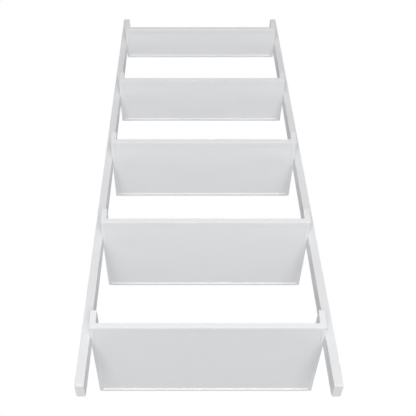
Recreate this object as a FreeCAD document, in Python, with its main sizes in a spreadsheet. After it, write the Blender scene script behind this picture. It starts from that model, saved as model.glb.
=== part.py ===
"""A leaning shelving unit: two sloping rails that carry five open trays against a wall.

Frame: X across the unit, Y from front to wall, Z up. The origin is on the floor, in the middle of the
width and of the depth. All sizes are millimetres.
"""
import FreeCAD, Part
import math
import os
import Sketcher

Vector = FreeCAD.Vector

TRAYS = ("tray_1", "tray_2", "tray_3", "tray_4", "tray_5")
ENDS = ("left", "right")
TOP_TRAY = TRAYS[-1]

# Driving dimensions: alias, value, what it measures
SIZES = [
    ("overall_height", 1833, "floor to the top of the rails"),
    ("foot_distance", 317, "wall to the front of the rails at floor level"),
    ("rail_width", 22.5, "rail thickness across the unit"),
    ("rail_depth", 51, "rail depth, measured level"),
    ("rail_round", 1.5, "rounding of the rails' long edges"),
    ("wall_flat", 48, "upright flat at the top of a rail, where it lies on the wall"),
    ("pad_thickness", 5, "foot pad thickness"),
    ("pad_inset", 0.5, "rail end showing around a foot pad"),
    ("pad_corner", 4, "corner radius of a foot pad"),
    ("tray_width", 590, "tray width over its sides, also the clear distance between the rails"),
    ("tray_1_height", 151, "floor to the underside of tray 1, the lowest"),
    ("tray_2_height", 510, "floor to the underside of tray 2"),
    ("tray_3_height", 881, "floor to the underside of tray 3"),
    ("tray_4_height", 1257, "floor to the underside of tray 4"),
    ("top_drop", 197, "top of the rails down to the underside of tray 5, the highest"),
    ("tray_1_depth", 330, "depth of tray 1"),
    ("tray_2_depth", 305, "depth of tray 2"),
    ("tray_3_depth", 255, "depth of tray 3"),
    ("tray_4_depth", 193, "depth of tray 4"),
    ("tray_5_depth", 137, "depth of tray 5"),
    ("tray_1_side_height", 53, "height of the sides and back of tray 1"),
    ("tray_2_side_height", 51, "height of the sides and back of tray 2"),
    ("tray_3_side_height", 49, "height of the sides and back of tray 3"),
    ("tray_4_side_height", 46, "height of the sides and back of tray 4"),
    ("tray_5_side_height", 40, "height of the sides and back of tray 5"),
    ("side_thickness", 16, "side panel thickness"),
    ("back_thickness", 8, "back panel thickness"),
    ("shelf_thickness", 12, "shelf panel thickness"),
    ("nosing_height", 15, "front nosing height, also the height of the rabbet in the sides"),
    ("nosing_thickness", 15, "front nosing depth from front to back"),
    ("nosing_round", 0.7, "rounding of the nosing's front edges"),
    ("edge_round", 1, "rounding of the side and back panel edges"),
    ("rabbet_depth", 6, "how far nosing, shelf and back are let into each side"),
    ("bolt_diameter", 6, "connector bolt shank"),
    ("bolt_clearance", 0.4, "side panel hole over bolt shank"),
    ("bolt_head_diameter", 13, "connector bolt head"),
    ("bolt_head_height", 2.5, "connector bolt head height"),
    ("bolt_socket", 4, "hexagon socket across its corners"),
    ("bolt_socket_depth", 1.6, "hexagon socket depth"),
    ("bolt_engagement", 12, "length of bolt in the rail"),
    ("bolt_spacing", 24, "distance between the two bolts of a tray end"),
    ("insert_diameter", 10, "insert nut outside"),
    ("insert_length", 14, "insert nut length"),
    ("insert_clearance", 0.1, "rail hole over insert nut, and insert bore over bolt"),
    ("screw_diameter", 3.5, "wood screw shank"),
    ("screw_head_diameter", 7, "wood screw countersunk head"),
    ("screw_length", 30, "wood screw length"),
    ("screw_tip", 4, "length of the wood screw's tapered tip"),
    ("screw_tip_flat", 1, "diameter at the end of the tip"),
    ("screw_slot_length", 4, "length of each arm pair of the cross recess"),
    ("screw_slot_width", 1, "width of the cross recess"),
    ("screw_slot_depth", 1, "depth of the cross recess"),
    ("screw_clearance", 0.1, "hole over screw"),
    ("side_screw_inset", 25, "side screw to the front or rear edge of the shelf panel"),
    ("back_screw_spacing", 220, "distance between neighbouring back screws"),
    ("dowel_diameter", 6, "dowel"),
    ("dowel_in_nosing", 9, "dowel length in the nosing"),
    ("dowel_in_shelf", 15, "dowel length in the shelf panel"),
    ("dowel_bevel", 0.8, "bevel on the dowel ends"),
    ("dowel_clearance", 0.1, "hole over dowel"),
    ("dowel_spacing", 200, "distance between neighbouring dowels"),
    ("hole_spare", 1, "depth of a blind hole past the end of what goes in it"),
    ("wall_hole_diameter", 5, "wall screw hole in the top tray's back panel"),
    ("wall_hole_spacing", 400, "distance between the two wall screw holes"),
]

# Lengths and places that follow from the driving dimensions
WALL_Y = "(Sizes.tray_1_depth / 2)"
SLOPE = "((Sizes.foot_distance - Sizes.rail_depth) / (Sizes.overall_height - Sizes.wall_flat))"
RAIL_FOOT_Y = f"({WALL_Y} - Sizes.foot_distance)"
SHELF_LENGTH = "(Sizes.tray_width - 2 * (Sizes.side_thickness - Sizes.rabbet_depth))"
SIDE_LIP = "(Sizes.side_thickness - Sizes.rabbet_depth)"
SHELF_RISE = "(Sizes.nosing_height - Sizes.shelf_thickness)"
SHELF_MIDDLE = "(Sizes.nosing_height - Sizes.shelf_thickness / 2)"
SCREW_HOLE = "(Sizes.screw_diameter + Sizes.screw_clearance)"
SCREW_SINK = "(Sizes.screw_head_diameter + Sizes.screw_clearance)"
SCREW_HEAD_DEPTH = "((Sizes.screw_head_diameter - Sizes.screw_diameter) / 2)"
DOWEL_HOLE = "(Sizes.dowel_diameter + Sizes.dowel_clearance)"
INSERT_HOLE = "(Sizes.insert_diameter + Sizes.insert_clearance)"

doc = FreeCAD.newDocument("leaning_shelving_unit")
sheet = doc.addObject("Spreadsheet::Sheet", "Sizes")
nodes = []


def fill_sheet():
    """Write every driving dimension into the sheet: name, plain number, meaning."""
    for row, (alias, value, meaning) in enumerate(SIZES, start=1):
        sheet.set(f"A{row}", alias)
        sheet.set(f"B{row}", str(value))
        sheet.set(f"C{row}", meaning)
        sheet.setAlias(f"B{row}", alias)
    doc.recompute()


def number(expression):
    """The present value of an expression on the sheet's sizes."""
    return float(sheet.evalExpression(expression))


def new_body(label, places=None):
    """A body with its own label; places binds its placement along X, Y and Z."""
    body = doc.addObject("PartDesign::Body", label)
    body.Label = label
    for axis, expression in zip("xyz", places or ()):
        body.setExpression(f"Placement.Base.{axis}", expression)
    return body


def sketch_on(body, name, role, lift=None):
    """A sketch on one of the body's own origin planes, raised along the plane's normal by lift."""
    plane = next(item for item in body.Origin.OriginFeatures if item.Role == role)
    sketch = body.newObject("Sketcher::SketchObject", f"{body.Label}_{name}")
    sketch.AttachmentSupport = [(plane, "")]
    sketch.MapMode = "FlatFace"
    if lift:
        sketch.setExpression("AttachmentOffset.Base.z", lift)
    return sketch


def hold_point(sketch, geometry, point, place):
    """Bind one sketch point to expressions for its two coordinates, measured from the sketch's origin."""
    for kind, expression in zip(("DistanceX", "DistanceY"), place):
        rule = Sketcher.Constraint(kind, -1, 1, geometry, point, number(expression))
        sketch.setExpression(f"Constraints[{sketch.addConstraint(rule)}]", expression)


def draw_polygon(sketch, corners):
    """A closed outline through corners, each a pair of expressions."""
    points = [Vector(number(across), number(along), 0) for across, along in corners]
    count = len(corners)
    for index in range(count):
        sketch.addGeometry(Part.LineSegment(points[index], points[(index + 1) % count]), False)
    for index in range(count):
        sketch.addConstraint(Sketcher.Constraint("Coincident", index, 2, (index + 1) % count, 1))
    for index, corner in enumerate(corners):
        hold_point(sketch, index, 1, corner)


def draw_rectangle(sketch, width, height):
    """A rectangle from the sketch's origin."""
    draw_polygon(sketch, [("0", "0"), (width, "0"), (width, height), ("0", height)])


def draw_circles(sketch, centres, diameter):
    """Equal circles at centres, each a pair of expressions."""
    for place in centres:
        middle = Vector(number(place[0]), number(place[1]), 0)
        circle = sketch.addGeometry(Part.Circle(middle, Vector(0, 0, 1), number(diameter) / 2), False)
        hold_point(sketch, circle, 3, place)
        rule = Sketcher.Constraint("Diameter", circle, number(diameter))
        sketch.setExpression(f"Constraints[{sketch.addConstraint(rule)}]", diameter)


def add_pad(body, sketch, length, backwards=False):
    """Raise a sketch into a solid along its normal, or against it."""
    pad = body.newObject("PartDesign::Pad", f"{sketch.Label}_pad")
    pad.Profile = sketch
    pad.setExpression("Length", length)
    pad.Reversed = backwards
    doc.recompute()


def check_cut(body, feature, before):
    """Stop if a cut took nothing away."""
    doc.recompute()
    if body.Shape.Volume >= before:
        raise RuntimeError(f"{feature.Label} cuts nothing")


def add_pocket(body, sketch, depth=None, along_normal=False):
    """Cut a sketch into the body, against its normal or along it, to a depth or right through."""
    before = body.Shape.Volume
    pocket = body.newObject("PartDesign::Pocket", f"{sketch.Label}_cut")
    pocket.Profile = sketch
    pocket.Reversed = along_normal
    if depth:
        pocket.setExpression("Length", depth)
    else:
        pocket.Type = "ThroughAll"
    check_cut(body, pocket, before)


def add_screw_holes(body, sketch, along_normal):
    """Countersunk clearance holes for wood screws at the circles of a sketch."""
    doc.recompute()
    before = body.Shape.Volume
    hole = body.newObject("PartDesign::Hole", f"{sketch.Label}_sunk")
    hole.Profile = sketch
    doc.recompute()
    hole.ThreadType = 0
    hole.DepthType = "ThroughAll"
    hole.HoleCutType = "Countersink"
    hole.HoleCutCustomValues = True
    hole.HoleCutCountersinkAngle = 90
    hole.Reversed = along_normal
    hole.setExpression("Diameter", SCREW_HOLE)
    hole.setExpression("HoleCutDiameter", SCREW_SINK)
    check_cut(body, hole, before)


def round_edges(body, radius, wanted):
    """Round those edges of the body for which wanted is true."""
    doc.recompute()
    base = body.Tip
    names = [f"Edge{index}" for index, edge in enumerate(base.Shape.Edges, start=1) if wanted(edge)]
    fillet = body.newObject("PartDesign::Fillet", f"{body.Label}_rounding")
    fillet.Base = (base, names)
    fillet.setExpression("Radius", radius)
    doc.recompute()


def runs_along(edge, axis):
    """True if an edge is parallel to an axis."""
    start, end = (vertex.Point for vertex in edge.Vertexes)
    return math.isclose(abs((end - start).normalize().dot(axis)), 1)


def tray_height(tray):
    """Height of a tray's underside; the top tray hangs from the top of the rails."""
    return "(Sizes.overall_height - Sizes.top_drop)" if tray == TOP_TRAY else f"Sizes.{tray}_height"


def bolt_height(tray):
    """Height of a tray's bolts over its underside: halfway up the side above the rabbet."""
    return f"((Sizes.{tray}_side_height + Sizes.nosing_height) / 2)"


def bolt_places(tray):
    """The two bolts of a tray end, as distance behind the rail's foot and height over the floor."""
    height = f"({tray_height(tray)} + {bolt_height(tray)})"
    middle = f"({SLOPE} * {height} + Sizes.rail_depth / 2)"
    return [(f"({middle} {sign} Sizes.bolt_spacing / 2)", height) for sign in "-+"]


def side_screw_places(tray):
    """The two screws of a tray end, as distance behind the front of the shelf panel."""
    return ["Sizes.side_screw_inset", f"({shelf_depth(tray)} - Sizes.side_screw_inset)"]


def row_of_three(spacing):
    """Three places along the shelf's length, measured from its left end."""
    return [f"({SHELF_LENGTH} / 2 + {step} * Sizes.{spacing})" for step in (-1, 0, 1)]


def tray_front(tray):
    """Y of a tray's front face."""
    return f"({WALL_Y} - Sizes.{tray}_depth)"


def shelf_depth(tray):
    """Depth of a shelf panel between its nosing and its back panel."""
    return f"(Sizes.{tray}_depth - Sizes.nosing_thickness - Sizes.back_thickness)"


def build_rail(end):
    """A sloping rail: level at the floor and the top, upright where it lies on the wall."""
    left = end == "left"
    across = "-Sizes.tray_width / 2 - Sizes.rail_width" if left else "Sizes.tray_width / 2"
    body = new_body(f"rail_{end}", (across, RAIL_FOOT_Y, "0"))
    profile = sketch_on(body, "profile", "YZ_Plane")
    foot = "Sizes.pad_thickness"
    flat_start = "(Sizes.overall_height - Sizes.wall_flat)"
    corners = [
        (f"{SLOPE} * {foot}", foot),
        (f"{SLOPE} * {foot} + Sizes.rail_depth", foot),
        ("Sizes.foot_distance", flat_start),
        ("Sizes.foot_distance", "Sizes.overall_height"),
        (f"{SLOPE} * Sizes.overall_height", "Sizes.overall_height"),
    ]
    draw_polygon(profile, corners)
    add_pad(body, profile, "Sizes.rail_width")
    round_edges(body, "Sizes.rail_round", lambda edge: not runs_along(edge, Vector(1, 0, 0)))
    inner_face = "Sizes.rail_width" if left else None
    holes = sketch_on(body, "insert_holes", "YZ_Plane", inner_face)
    draw_circles(holes, [place for tray in TRAYS for place in bolt_places(tray)], INSERT_HOLE)
    add_pocket(body, holes, "Sizes.insert_length + Sizes.hole_spare", along_normal=not left)
    nodes.append(body)


def build_foot_pad(end):
    """A flat pad with round corners under the level end of a rail."""
    left = end == "left"
    edge = "-Sizes.tray_width / 2 - Sizes.rail_width" if left else "Sizes.tray_width / 2"
    front = f"{RAIL_FOOT_Y} + {SLOPE} * Sizes.pad_thickness + Sizes.pad_inset"
    body = new_body(f"foot_pad_{end}", (f"{edge} + Sizes.pad_inset", front, "0"))
    outline = sketch_on(body, "outline", "XY_Plane")
    draw_rectangle(outline, "Sizes.rail_width - 2 * Sizes.pad_inset", "Sizes.rail_depth - 2 * Sizes.pad_inset")
    add_pad(body, outline, "Sizes.pad_thickness")
    round_edges(body, "Sizes.pad_corner", lambda edge: runs_along(edge, Vector(0, 0, 1)))
    nodes.append(body)


def build_side(tray, end):
    """A tray side with a rabbet along its lower inner edge and up its rear inner edge."""
    left = end == "left"
    depth = f"Sizes.{tray}_depth"
    height = f"Sizes.{tray}_side_height"
    across = "-Sizes.tray_width / 2" if left else "Sizes.tray_width / 2 - Sizes.side_thickness"
    body = new_body(f"{tray}_side_{end}", (across, tray_front(tray), tray_height(tray)))
    outline = sketch_on(body, "outline", "YZ_Plane")
    draw_rectangle(outline, depth, height)
    add_pad(body, outline, "Sizes.side_thickness")
    round_edges(body, "Sizes.edge_round", lambda edge: True)
    rabbet = sketch_on(body, "rabbet", "YZ_Plane", SIDE_LIP if left else "Sizes.rabbet_depth")
    back_front = f"{depth} - Sizes.back_thickness"
    corners = [
        ("0", "0"),
        (depth, "0"),
        (depth, height),
        (back_front, height),
        (back_front, "Sizes.nosing_height"),
        ("0", "Sizes.nosing_height"),
    ]
    draw_polygon(rabbet, corners)
    add_pocket(body, rabbet, along_normal=left)
    bolts = sketch_on(body, "bolt_holes", "YZ_Plane")
    from_rail = f"{depth} - Sizes.foot_distance"
    centres = [(f"{behind} + {from_rail}", bolt_height(tray)) for behind, _ in bolt_places(tray)]
    draw_circles(bolts, centres, "Sizes.bolt_diameter + Sizes.bolt_clearance")
    add_pocket(body, bolts, along_normal=True)
    screws = sketch_on(body, "screw_holes", "YZ_Plane", None if left else "Sizes.side_thickness")
    centres = [(f"Sizes.nosing_thickness + {behind}", SHELF_MIDDLE) for behind in side_screw_places(tray)]
    draw_circles(screws, centres, SCREW_HOLE)
    add_screw_holes(body, screws, along_normal=left)
    nodes.append(body)


def build_nosing(tray):
    """The front strip of a tray, with rounded front edges and dowel holes behind."""
    places = (f"-{SHELF_LENGTH} / 2", tray_front(tray), tray_height(tray))
    body = new_body(f"{tray}_nosing", places)
    outline = sketch_on(body, "outline", "XY_Plane")
    draw_rectangle(outline, SHELF_LENGTH, "Sizes.nosing_thickness")
    add_pad(body, outline, "Sizes.nosing_height")
    at_front = number("Sizes.nosing_thickness") / 2
    along_front = lambda edge: runs_along(edge, Vector(1, 0, 0)) and edge.CenterOfMass.y < at_front
    round_edges(body, "Sizes.nosing_round", along_front)
    dowels = sketch_on(body, "dowel_holes", "XZ_Plane", "-Sizes.nosing_thickness")
    draw_circles(dowels, [(place, SHELF_MIDDLE) for place in row_of_three("dowel_spacing")], DOWEL_HOLE)
    add_pocket(body, dowels, "Sizes.dowel_in_nosing + Sizes.hole_spare", along_normal=True)
    nodes.append(body)


def build_shelf(tray):
    """A shelf panel with blind holes for the dowels, the back screws and the side screws."""
    depth = shelf_depth(tray)
    middle = "Sizes.shelf_thickness / 2"
    front = f"{tray_front(tray)} + Sizes.nosing_thickness"
    places = (f"-{SHELF_LENGTH} / 2", front, f"{tray_height(tray)} + {SHELF_RISE}")
    body = new_body(f"{tray}_shelf", places)
    outline = sketch_on(body, "outline", "XY_Plane")
    draw_rectangle(outline, SHELF_LENGTH, depth)
    add_pad(body, outline, "Sizes.shelf_thickness")
    dowels = sketch_on(body, "dowel_holes", "XZ_Plane")
    draw_circles(dowels, [(place, middle) for place in row_of_three("dowel_spacing")], DOWEL_HOLE)
    add_pocket(body, dowels, "Sizes.dowel_in_shelf + Sizes.hole_spare")
    rear = sketch_on(body, "back_screw_holes", "XZ_Plane", f"-{depth}")
    draw_circles(rear, [(place, middle) for place in row_of_three("back_screw_spacing")], SCREW_HOLE)
    add_pocket(body, rear, "Sizes.screw_length - Sizes.back_thickness + Sizes.hole_spare", along_normal=True)
    for end in ENDS:
        left = end == "left"
        screws = sketch_on(body, f"{end}_screw_holes", "YZ_Plane", None if left else SHELF_LENGTH)
        draw_circles(screws, [(behind, middle) for behind in side_screw_places(tray)], SCREW_HOLE)
        add_pocket(body, screws, f"Sizes.screw_length - {SIDE_LIP} + Sizes.hole_spare", along_normal=left)
    nodes.append(body)


def build_back(tray):
    """A back panel, held in the rear rabbets; the top one has two holes for wall screws."""
    height = f"Sizes.{tray}_side_height"
    places = (f"-{SHELF_LENGTH} / 2", f"{WALL_Y} - Sizes.back_thickness", tray_height(tray))
    body = new_body(f"{tray}_back", places)
    outline = sketch_on(body, "outline", "XZ_Plane")
    draw_rectangle(outline, SHELF_LENGTH, height)
    add_pad(body, outline, "Sizes.back_thickness", backwards=True)
    half_way = number(height) / 2
    along_top = lambda edge: runs_along(edge, Vector(1, 0, 0)) and edge.CenterOfMass.z > half_way
    round_edges(body, "Sizes.edge_round", along_top)
    screws = sketch_on(body, "screw_holes", "XZ_Plane", "-Sizes.back_thickness")
    draw_circles(screws, [(place, SHELF_MIDDLE) for place in row_of_three("back_screw_spacing")], SCREW_HOLE)
    add_screw_holes(body, screws, along_normal=True)
    if tray == TOP_TRAY:
        wall = sketch_on(body, "wall_holes", "XZ_Plane")
        across = [f"({SHELF_LENGTH} / 2 {sign} Sizes.wall_hole_spacing / 2)" for sign in "-+"]
        draw_circles(wall, [(place, bolt_height(tray)) for place in across], "Sizes.wall_hole_diameter")
        add_pocket(body, wall)
    nodes.append(body)


def turn_profile(body, corners):
    """Turn a half profile, drawn in the XZ plane, about the body's X axis."""
    profile = sketch_on(body, "profile", "XZ_Plane")
    draw_polygon(profile, corners)
    turning = body.newObject("PartDesign::Revolution", f"{body.Label}_turning")
    turning.Profile = profile
    turning.ReferenceAxis = (profile, ["H_Axis"])
    turning.Angle = 360
    doc.recompute()


def make_bolt():
    """A flat-headed connector bolt along +X with a hexagon socket; X = 0 is under its head."""
    body = new_body("connector_bolt")
    length = "(Sizes.side_thickness + Sizes.bolt_engagement)"
    top = "-Sizes.bolt_head_height"
    corners = [
        (top, "0"),
        (length, "0"),
        (length, "Sizes.bolt_diameter / 2"),
        ("0", "Sizes.bolt_diameter / 2"),
        ("0", "Sizes.bolt_head_diameter / 2"),
        (top, "Sizes.bolt_head_diameter / 2"),
    ]
    turn_profile(body, corners)
    socket = sketch_on(body, "socket", "YZ_Plane", top)
    reach = "Sizes.bolt_socket / 2"
    corners = [(f"{reach} * cos({60 * side} deg)", f"{reach} * sin({60 * side} deg)") for side in range(6)]
    draw_polygon(socket, corners)
    add_pocket(body, socket, "Sizes.bolt_socket_depth", along_normal=True)
    return body


def make_insert():
    """A sleeve that takes the bolt's thread, along +X from the rail's face."""
    body = new_body("insert_nut")
    bore = "(Sizes.bolt_diameter + Sizes.insert_clearance) / 2"
    outside = "Sizes.insert_diameter / 2"
    corners = [("0", bore), ("Sizes.insert_length", bore), ("Sizes.insert_length", outside), ("0", outside)]
    turn_profile(body, corners)
    return body


def make_screw():
    """A countersunk wood screw along +X with a cross recess; X = 0 is the top of its head."""
    body = new_body("wood_screw")
    corners = [
        ("0", "0"),
        ("Sizes.screw_length", "0"),
        ("Sizes.screw_length", "Sizes.screw_tip_flat / 2"),
        ("Sizes.screw_length - Sizes.screw_tip", "Sizes.screw_diameter / 2"),
        (SCREW_HEAD_DEPTH, "Sizes.screw_diameter / 2"),
        ("0", "Sizes.screw_head_diameter / 2"),
    ]
    turn_profile(body, corners)
    recess = sketch_on(body, "recess", "YZ_Plane")
    far = "Sizes.screw_slot_length / 2"
    near = "Sizes.screw_slot_width / 2"
    corner = [(far, near), (near, near), (near, far)]
    corners = []
    for across, up in (("", ""), ("-", ""), ("-", "-"), ("", "-")):
        arm = [(f"{across}{y}", f"{up}{z}") for y, z in corner]
        corners += arm if across == up else arm[::-1]
    draw_polygon(recess, corners)
    add_pocket(body, recess, "Sizes.screw_slot_depth", along_normal=True)
    return body


def make_dowel():
    """A dowel with bevelled ends along +X; X = 0 is the joint between nosing and shelf."""
    body = new_body("dowel")
    radius = "Sizes.dowel_diameter / 2"
    inner = f"{radius} - Sizes.dowel_bevel"
    start = "-Sizes.dowel_in_nosing"
    end = "Sizes.dowel_in_shelf"
    corners = [
        (start, "0"),
        (end, "0"),
        (end, inner),
        (f"{end} - Sizes.dowel_bevel", radius),
        (f"{start} + Sizes.dowel_bevel", radius),
        (start, inner),
    ]
    turn_profile(body, corners)
    return body


def build_group(label, piece, spots):
    """One node of equal fasteners: spots lists the turn about Z in degrees and the X, Y, Z expressions."""
    links = []
    for index, (turn, places) in enumerate(spots, start=1):
        link = doc.addObject("App::Link", f"{label}_{index}")
        link.LinkedObject = piece
        link.Placement = FreeCAD.Placement(Vector(), FreeCAD.Rotation(Vector(0, 0, 1), turn))
        for axis, expression in zip("xyz", places):
            link.setExpression(f"Placement.Base.{axis}", expression)
        links.append(link)
    group = doc.addObject("Part::Compound", label)
    group.Label = label
    group.Links = links
    doc.recompute()
    nodes.append(group)


def rail_fastener_spots(face):
    """Bolts or insert nuts of every tray end, pointing into the rail from the face at this half width."""
    spots = []
    for tray in TRAYS:
        for behind, height in bolt_places(tray):
            along = f"{RAIL_FOOT_Y} + {behind}"
            spots.append((180, (f"-{face}", along, height)))
            spots.append((0, (face, along, height)))
    return spots


def side_screw_spots():
    """Screws through the sides into the ends of the shelf panels."""
    outer = "(Sizes.tray_width / 2)"
    spots = []
    for tray in TRAYS:
        height = f"{tray_height(tray)} + {SHELF_MIDDLE}"
        for behind in side_screw_places(tray):
            along = f"{tray_front(tray)} + Sizes.nosing_thickness + {behind}"
            spots.append((0, (f"-{outer}", along, height)))
            spots.append((180, (outer, along, height)))
    return spots


def row_spots(spacing, turn, along):
    """Three fasteners across each tray, at the Y that along gives for the tray."""
    spots = []
    for tray in TRAYS:
        height = f"{tray_height(tray)} + {SHELF_MIDDLE}"
        for place in row_of_three(spacing):
            spots.append((turn, (f"{place} - {SHELF_LENGTH} / 2", along(tray), height)))
    return spots


def check_document():
    """Stop unless every object is sound and every node holds valid solids."""
    doc.recompute()
    for item in doc.Objects:
        if "Invalid" in item.State or "Error" in item.State:
            raise RuntimeError(f"{item.Label} failed: {item.State}")
    for node in nodes:
        if node.Shape.isNull() or not node.Shape.isValid() or not node.Shape.Solids:
            raise RuntimeError(f"{node.Label} has no valid solid")


def export_nodes():
    """Write each node to its own file and print its solids, volume and place."""
    os.makedirs("parts", exist_ok=True)
    for node in nodes:
        node.Shape.exportStep(f"parts/{node.Label}.step")
        box = node.Shape.BoundBox
        print(f"{node.Label}: {len(node.Shape.Solids)} solids, {node.Shape.Volume:.0f} mm3, "
              f"X {box.XMin:.1f} {box.XMax:.1f}, Y {box.YMin:.1f} {box.YMax:.1f}, Z {box.ZMin:.1f} {box.ZMax:.1f}")


fill_sheet()
for end in ENDS:
    build_rail(end)
    build_foot_pad(end)
for tray in TRAYS:
    for end in ENDS:
        build_side(tray, end)
    build_nosing(tray)
    build_shelf(tray)
    build_back(tray)
build_group("rail_bolts", make_bolt(), rail_fastener_spots("(Sizes.tray_width / 2 - Sizes.side_thickness)"))
build_group("rail_insert_nuts", make_insert(), rail_fastener_spots("(Sizes.tray_width / 2)"))
screw = make_screw()
build_group("side_screws", screw, side_screw_spots())
build_group("back_screws", screw, row_spots("back_screw_spacing", -90, lambda tray: WALL_Y))
nosing_rear = lambda tray: f"{tray_front(tray)} + Sizes.nosing_thickness"
build_group("nosing_dowels", make_dowel(), row_spots("dowel_spacing", 90, nosing_rear))
check_document()
export_nodes()
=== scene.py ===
"""Finish and studio of the leaning shelving unit, laid out as an add-on with an operator for each group."""
import math

import bpy
import numpy as np
from mathutils import Matrix, Vector


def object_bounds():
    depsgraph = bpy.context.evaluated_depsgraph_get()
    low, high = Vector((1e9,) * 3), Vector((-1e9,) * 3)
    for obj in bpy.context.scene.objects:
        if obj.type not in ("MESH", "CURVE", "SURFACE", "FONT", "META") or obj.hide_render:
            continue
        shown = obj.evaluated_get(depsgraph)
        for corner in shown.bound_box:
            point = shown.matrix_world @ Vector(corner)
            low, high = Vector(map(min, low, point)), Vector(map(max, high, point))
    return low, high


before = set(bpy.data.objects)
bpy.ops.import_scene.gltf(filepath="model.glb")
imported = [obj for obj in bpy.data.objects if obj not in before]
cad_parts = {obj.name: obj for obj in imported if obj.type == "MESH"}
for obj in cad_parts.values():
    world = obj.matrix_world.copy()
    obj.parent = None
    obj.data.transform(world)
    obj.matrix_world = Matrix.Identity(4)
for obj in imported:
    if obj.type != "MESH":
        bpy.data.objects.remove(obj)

bl_info = {
    "name": "Leaning shelving unit",
    "version": (1, 0, 0),
    "blender": (4, 5, 0),
    "location": "View3D > Sidebar > Shelf",
    "description": "Gives a leaning shelving unit its lacquer, fittings and studio",
    "category": "Object",
}

CAD_LOW, CAD_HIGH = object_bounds()

# Names of the CAD nodes
TRAYS = ("tray_1", "tray_2", "tray_3", "tray_4", "tray_5")
TRAY_BOARDS = ("side_left", "side_right", "nosing", "shelf", "back")
RAILS = ("rail_left", "rail_right")
FOOT_PADS = ("foot_pad_left", "foot_pad_right")
STEEL_FITTINGS = ("rail_bolts", "rail_insert_nuts", "side_screws", "back_screws")
DOWELS = ("nosing_dowels",)

# Lacquer: widths of the clouds of colour and of the patches of gloss in metres, how far the patches
# spread the roughness, strength of the dimples, index of refraction
CLOUD_WIDTH = 0.18
GLOSS_PATCH_WIDTH = 0.05
GLOSS_SPREAD = 0.08
PEEL_STRENGTH = 0.35
LACQUER_IOR = 1.3

# Zinc: width of the spangle in metres, share of the colour that its dull parts keep, roughness and
# what the spangle adds to it
SPANGLE_WIDTH = 0.0012
SPANGLE_SHADE = 0.75
ZINC_ROUGHNESS = 0.25
SPANGLE_ROUGHNESS = 0.25

# Beech: width of the flecks in metres, share of the colour that they keep, roughness and what they
# add to it
FLECK_WIDTH = 0.0015
FLECK_SHADE = 0.7
BEECH_ROUGHNESS = 0.62
FLECK_ROUGHNESS = 0.16

# Foot pads: width and height of the grain in metres, its strength, share of the colour that it
# keeps, roughness
GRAIN_WIDTH = 0.0008
GRAIN_HEIGHT = 0.00005
GRAIN_STRENGTH = 0.4
GRAIN_SHADE = 0.93
PAD_ROUGHNESS = 0.55

# Floor: gap below the feet in metres, points along an edge, shares of the radius where it fades
FLOOR_GAP = 0.0005
FLOOR_POINTS = 3
FADE_START = 0.3
FADE_END = 0.95

# Camera: width of the photograph in pixels, turn that looks level, farthest sight in metres
PHOTO_WIDTH = 416
LEVEL_TURN = math.radians(90)
FARTHEST_SIGHT = 50

# Sockets of the two kinds of Mix node, by number because some of them share a name
COLOUR_MIX = (0, 6, 7)
SURFACE_MIX = (0, 1, 2)

# Middle of the range of a noise, colour of the surroundings
NOISE_MIDDLE = 0.5
WHITE = (1.0, 1.0, 1.0)

# Soft square lamps: name, place, side, power in watts, whether gloss shows them
LAMPS = (
    ("front_lamp", (0.0, -5.0, -2.9), 3.0, 262, True),
    ("wide_lamp", (0.0, -5.0, -3.0), 8.0, 102, True),
    ("low_lamp", (0.0, 0.0, -3.0), 8.0, 15, True),
    ("left_lamp", (-6.0, -0.6, -1.0), 3.0, 56, True),
    ("right_lamp", (6.0, -0.6, -1.0), 3.0, 58, True),
    ("top_lamp", (0.0, 0.8, 10.0), 5.0, 520, False),
    ("rear_lamp", (0.0, 5.0, 3.0), 3.0, 130, False),
)


class LacquerSettings(bpy.types.PropertyGroup):
    """The white lacquer on the boards."""

    colour: bpy.props.FloatVectorProperty(
        name="Lacquer colour", description="Base colour of the lacquer, linear",
        subtype="COLOR", size=3, min=0, max=1, default=(0.79, 0.795, 0.81))
    cloud_colour: bpy.props.FloatVectorProperty(
        name="Cloud colour", description="Colour in the faint broad clouds of the lacquer, linear",
        subtype="COLOR", size=3, min=0, max=1, default=(0.775, 0.78, 0.795))
    roughness: bpy.props.FloatProperty(
        name="Roughness", description="Roughness of the lacquer", min=0, max=1, default=0.68)
    peel_size: bpy.props.FloatProperty(
        name="Peel size", description="Width of one dimple of the sprayed surface",
        subtype="DISTANCE", unit="LENGTH", default=0.0022)
    peel_height: bpy.props.FloatProperty(
        name="Peel height", description="Height of the dimples",
        subtype="DISTANCE", unit="LENGTH", default=0.00002)


class FittingSettings(bpy.types.PropertyGroup):
    """Steel fittings, dowels and foot pads."""

    zinc_colour: bpy.props.FloatVectorProperty(
        name="Zinc colour", description="Zinc-plated steel, linear",
        subtype="COLOR", size=3, min=0, max=1, default=(0.56, 0.57, 0.60))
    beech_colour: bpy.props.FloatVectorProperty(
        name="Beech colour", description="Wood of the dowels, linear",
        subtype="COLOR", size=3, min=0, max=1, default=(0.60, 0.41, 0.24))
    pad_colour: bpy.props.FloatVectorProperty(
        name="Pad colour", description="Plastic of the foot pads, linear",
        subtype="COLOR", size=3, min=0, max=1, default=(0.79, 0.79, 0.79))


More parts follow.
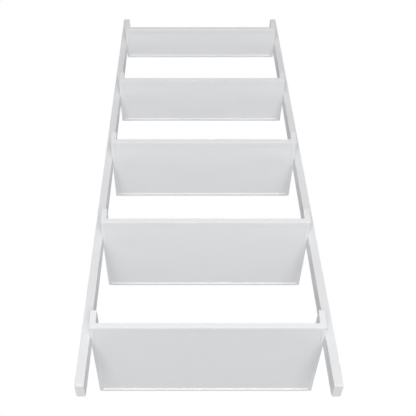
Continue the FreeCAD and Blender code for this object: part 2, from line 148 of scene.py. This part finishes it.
class StudioSettings(bpy.types.PropertyGroup):
    """Camera, lamps, floor and surroundings."""

    camera_place: bpy.props.FloatVectorProperty(
        name="Camera place", description="Where the camera stands, below the level of the floor",
        subtype="TRANSLATION", unit="LENGTH", size=3, default=(-0.0497, -1.7793, -0.8457))
    camera_rise: bpy.props.FloatProperty(
        name="Rise", description="How far the camera looks up",
        subtype="ANGLE", unit="ROTATION", default=math.radians(40.689))
    camera_shift: bpy.props.FloatProperty(
        name="Shift", description="How far the frame lies right of the line of sight, in frame widths",
        default=0.0483)
    focal_pixels: bpy.props.FloatProperty(
        name="Focal length", description="Focal length in pixels of the photograph's frame",
        default=759.0)
    floor_radius: bpy.props.FloatProperty(
        name="Floor radius", description="Distance from the middle of the floor to its edges",
        subtype="DISTANCE", unit="LENGTH", default=6.0)
    floor_colour: bpy.props.FloatVectorProperty(
        name="Floor colour", description="Pale floor, linear",
        subtype="COLOR", size=3, min=0, max=1, default=(0.8, 0.8, 0.8))
    ambient: bpy.props.FloatProperty(
        name="Ambient", description="Level of the light from all round", default=0.25)
    lamp_aim: bpy.props.FloatVectorProperty(
        name="Lamp aim", description="Middle of the unit, where every lamp points",
        subtype="TRANSLATION", unit="LENGTH", size=3, default=(0.0, 0.0, 0.9))


class Wire:
    """A shader value: arithmetic on it adds Math nodes."""

    def __init__(self, shader, socket):
        self.shader = shader
        self.socket = socket

    def maths(self, operation, *values):
        """A Math node on these values, in order."""
        inputs = dict(enumerate(values))
        return self.shader.node("ShaderNodeMath", {"operation": operation}, inputs)["Value"]

    def __add__(self, other):
        return self.maths("ADD", self, other)

    def __sub__(self, other):
        return self.maths("SUBTRACT", self, other)

    def __rsub__(self, other):
        return self.maths("SUBTRACT", other, self)

    def __mul__(self, other):
        return self.maths("MULTIPLY", self, other)

    def highest(self, other):
        """The larger of two values."""
        return self.maths("MAXIMUM", self, other)

    __radd__ = __add__
    __rmul__ = __mul__


class Shader:
    """A node tree that is filled from Python."""

    def __init__(self, tree):
        self.tree = tree
        tree.nodes.clear()

    def node(self, kind, settings=None, inputs=None):
        """Add a node: its settings first, then the values or links of its sockets. Gives its outputs."""
        node = self.tree.nodes.new(kind)
        for name, value in (settings or {}).items():
            setattr(node, name, value)
        for name, value in (inputs or {}).items():
            if isinstance(value, Wire):
                self.tree.links.new(value.socket, node.inputs[name])
            else:
                node.inputs[name].default_value = value
        return {output.name: Wire(self, output) for output in node.outputs if output.enabled}

    def blend(self, factor, first, second):
        """A colour between two others."""
        inputs = dict(zip(COLOUR_MIX, (factor, first, second)))
        return self.node("ShaderNodeMix", {"data_type": "RGBA"}, inputs)["Result"]

    def cover(self, factor, first, second):
        """A surface, or a background, between two others."""
        inputs = dict(zip(SURFACE_MIX, (factor, first, second)))
        return self.node("ShaderNodeMixShader", None, inputs)["Shader"]

    def background(self, strength):
        """White light from all round."""
        inputs = {"Color": opaque(WHITE), "Strength": strength}
        return self.node("ShaderNodeBackground", None, inputs)["Background"]

    def place(self):
        """Object coordinates."""
        return self.node("ShaderNodeTexCoord")["Object"]

    def noise(self, size, detail=2.0, roughness=0.5):
        """Soft noise on Object coordinates whose features are about size metres wide."""
        inputs = {"Vector": self.place(), "Scale": 1 / size, "Detail": detail, "Roughness": roughness}
        return self.node("ShaderNodeTexNoise", None, inputs)["Fac"]

    def bump(self, height, strength, distance):
        """A normal that height tilts."""
        inputs = {"Strength": strength, "Distance": distance, "Height": height}
        return self.node("ShaderNodeBump", None, inputs)["Normal"]


def new_material(name):
    """An empty node material and the shader that fills it."""
    material = bpy.data.materials.new(name)
    material.use_nodes = True
    return material, Shader(material.node_tree)


def opaque(colour, share=1.0):
    """This share of a colour, with full alpha."""
    return (*(share * channel for channel in colour), 1.0)


def finish_surface(shader, inputs):
    """Put a Principled surface with these inputs on the material's output."""
    surface = shader.node("ShaderNodeBsdfPrincipled", None, inputs)["BSDF"]
    shader.node("ShaderNodeOutputMaterial", None, {"Surface": surface})


def paint(names, material):
    """Give CAD nodes one material."""
    for name in names:
        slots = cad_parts[name].data.materials
        slots.clear()
        slots.append(material)


def lacquer_material(settings):
    """Sprayed satin lacquer: faint broad clouds of colour, fine dimples and a slightly uneven gloss."""
    material, shader = new_material("satin_white_lacquer")
    clouds = shader.noise(CLOUD_WIDTH, detail=3.0)
    peel = shader.noise(settings.peel_size, detail=1.0)
    haze = shader.noise(GLOSS_PATCH_WIDTH, detail=4.0, roughness=0.6)
    finish_surface(shader, {
        "Base Color": shader.blend(clouds, opaque(settings.colour), opaque(settings.cloud_colour)),
        "Roughness": settings.roughness + GLOSS_SPREAD * (haze - NOISE_MIDDLE),
        "Normal": shader.bump(peel, PEEL_STRENGTH, settings.peel_height),
        "IOR": LACQUER_IOR,
    })
    return material


def zinc_material(settings):
    """Bright zinc plating with a fine spangle."""
    material, shader = new_material("zinc_plating")
    colour = settings.zinc_colour
    spangle = shader.noise(SPANGLE_WIDTH, detail=3.0)
    finish_surface(shader, {
        "Base Color": shader.blend(spangle, opaque(colour), opaque(colour, SPANGLE_SHADE)),
        "Metallic": 1.0,
        "Roughness": ZINC_ROUGHNESS + SPANGLE_ROUGHNESS * spangle,
    })
    return material


def beech_material(settings):
    """Plain beech with short flecks."""
    material, shader = new_material("beech")
    colour = settings.beech_colour
    fleck = shader.noise(FLECK_WIDTH, detail=3.0)
    finish_surface(shader, {
        "Base Color": shader.blend(fleck, opaque(colour), opaque(colour, FLECK_SHADE)),
        "Roughness": BEECH_ROUGHNESS + FLECK_ROUGHNESS * fleck,
    })
    return material


def pad_material(settings):
    """Matt moulded plastic with a fine grain."""
    material, shader = new_material("matt_white_plastic")
    colour = settings.pad_colour
    grain = shader.noise(GRAIN_WIDTH)
    finish_surface(shader, {
        "Base Color": shader.blend(grain, opaque(colour), opaque(colour, GRAIN_SHADE)),
        "Roughness": PAD_ROUGHNESS,
        "Normal": shader.bump(grain, GRAIN_STRENGTH, GRAIN_HEIGHT),
    })
    return material


class SHELF_OT_lacquer_boards(bpy.types.Operator):
    """Lacquer the rails and every board of the trays"""

    bl_idname = "shelf.lacquer_boards"
    bl_label = "Lacquer the boards"

    def execute(self, context):
        boards = [f"{tray}_{board}" for tray in TRAYS for board in TRAY_BOARDS]
        paint([*RAILS, *boards], lacquer_material(context.scene.shelf_lacquer))
        return {"FINISHED"}


class SHELF_OT_finish_fittings(bpy.types.Operator):
    """Finish the steel fittings, the dowels and the foot pads"""

    bl_idname = "shelf.finish_fittings"
    bl_label = "Finish the fittings"

    def execute(self, context):
        settings = context.scene.shelf_fittings
        paint(STEEL_FITTINGS, zinc_material(settings))
        paint(DOWELS, beech_material(settings))
        paint(FOOT_PADS, pad_material(settings))
        return {"FINISHED"}


def grid_mesh(name, points, columns):
    """A mesh from a grid of points given row by row."""
    rows = len(points) // columns
    corner = np.arange((rows - 1) * columns).reshape(rows - 1, columns)[:, :-1].ravel()
    faces = np.stack([corner, corner + 1, corner + columns + 1, corner + columns], axis=1)
    mesh = bpy.data.meshes.new(name)
    mesh.from_pydata(points.tolist(), [], faces.tolist())
    mesh.update()
    return mesh


def place_object(name, data):
    """A new object in the scene, at the origin."""
    piece = bpy.data.objects.new(name, data)
    bpy.context.scene.collection.objects.link(piece)
    return piece


def hide_from_light(piece):
    """Show a piece to the camera alone, so that light from below reaches the object."""
    piece.visible_diffuse = False
    piece.visible_glossy = False
    piece.visible_transmission = False
    piece.visible_shadow = False


def floor_material(settings):
    """Matt and pale from above, clear from below and towards the edges."""
    material, shader = new_material("pale_floor")
    reach = shader.node("ShaderNodeVectorMath", {"operation": "LENGTH"}, {0: shader.place()})["Value"]
    fade = shader.node("ShaderNodeMapRange", {"interpolation_type": "SMOOTHSTEP"}, {
        "Value": reach,
        "From Min": FADE_START * settings.floor_radius,
        "From Max": FADE_END * settings.floor_radius,
        "To Min": 1.0,
        "To Max": 0.0,
    })["Result"]
    seen_from_above = 1 - shader.node("ShaderNodeNewGeometry")["Backfacing"]
    clear = shader.node("ShaderNodeBsdfTransparent")["BSDF"]
    matt = shader.node("ShaderNodeBsdfDiffuse", None, {"Color": opaque(settings.floor_colour)})["BSDF"]
    surface = shader.cover(fade * seen_from_above, clear, matt)
    shader.node("ShaderNodeOutputMaterial", None, {"Surface": surface})
    return material


def add_floor(settings):
    """A flat square just below the feet: x and y run evenly over it and z is constant."""
    steps = np.linspace(-settings.floor_radius, settings.floor_radius, FLOOR_POINTS)
    across, along = np.meshgrid(steps, steps)
    level = np.full(across.size, CAD_LOW.z - FLOOR_GAP)
    points = np.stack([across.ravel(), along.ravel(), level], axis=1)
    floor = place_object("floor", grid_mesh("floor", points, FLOOR_POINTS))
    floor.data.materials.append(floor_material(settings))
    hide_from_light(floor)


def set_world(settings):
    """An even grey that lights the object, white where the camera, gloss or glass looks past it."""
    world = bpy.data.worlds.new("studio")
    world.use_nodes = True
    bpy.context.scene.world = world
    shader = Shader(world.node_tree)
    rays = shader.node("ShaderNodeLightPath")
    looking = rays["Is Camera Ray"].highest(rays["Is Glossy Ray"]).highest(rays["Is Transmission Ray"])
    mixed = shader.cover(looking, shader.background(settings.ambient), shader.background(1.0))
    shader.node("ShaderNodeOutputWorld", None, {"Surface": mixed})


def add_lamp(settings, name, place, side, power, in_gloss):
    """A square soft lamp at place that points at the middle of the unit."""
    lamp = bpy.data.lights.new(name, "AREA")
    lamp.shape = "SQUARE"
    lamp.size = side
    lamp.energy = power
    piece = place_object(name, lamp)
    piece.location = place
    aim = Vector(settings.lamp_aim) - Vector(place)
    piece.rotation_euler = aim.to_track_quat("-Z", "Y").to_euler()
    piece.visible_camera = False
    piece.visible_glossy = in_gloss


def add_camera(settings):
    """The camera: square to the wall, looking up."""
    data = bpy.data.cameras.new("camera")
    camera = place_object("camera", data)
    rise = Matrix.Rotation(LEVEL_TURN + settings.camera_rise, 4, "X")
    camera.matrix_world = Matrix.Translation(settings.camera_place) @ rise
    data.sensor_fit = "HORIZONTAL"
    data.lens = settings.focal_pixels / PHOTO_WIDTH * data.sensor_width
    data.shift_x = settings.camera_shift
    data.clip_end = FARTHEST_SIGHT
    bpy.context.scene.camera = camera


class SHELF_OT_set_stage(bpy.types.Operator):
    """Set up the floor, the surroundings, the lamps and the camera"""

    bl_idname = "shelf.set_stage"
    bl_label = "Set the stage"

    def execute(self, context):
        settings = context.scene.shelf_studio
        add_floor(settings)
        set_world(settings)
        for lamp in LAMPS:
            add_lamp(settings, *lamp)
        add_camera(settings)
        context.scene.view_settings.view_transform = "Standard"
        return {"FINISHED"}


class SHELF_PT_panel(bpy.types.Panel):
    """Lists the steps that dress the shelving unit"""

    bl_label = "Leaning shelving unit"
    bl_space_type = "VIEW_3D"
    bl_region_type = "UI"
    bl_category = "Shelf"

    def draw(self, context):
        for operator in OPERATORS:
            self.layout.operator(operator.bl_idname)


SETTINGS = {
    "shelf_lacquer": LacquerSettings,
    "shelf_fittings": FittingSettings,
    "shelf_studio": StudioSettings,
}
OPERATORS = (SHELF_OT_lacquer_boards, SHELF_OT_finish_fittings, SHELF_OT_set_stage)


def register():
    """Register the settings, the operators and the panel."""
    for name, group in SETTINGS.items():
        bpy.utils.register_class(group)
        setattr(bpy.types.Scene, name, bpy.props.PointerProperty(type=group))
    for operator in OPERATORS:
        bpy.utils.register_class(operator)
    bpy.utils.register_class(SHELF_PT_panel)


def unregister():
    """Undo register."""
    bpy.utils.unregister_class(SHELF_PT_panel)
    for operator in reversed(OPERATORS):
        bpy.utils.unregister_class(operator)
    for name, group in SETTINGS.items():
        delattr(bpy.types.Scene, name)
        bpy.utils.unregister_class(group)


def main():
    """Dress the unit."""
    register()
    bpy.ops.shelf.lacquer_boards()
    bpy.ops.shelf.finish_fittings()
    bpy.ops.shelf.set_stage()


if __name__ == "__main__":
    main()
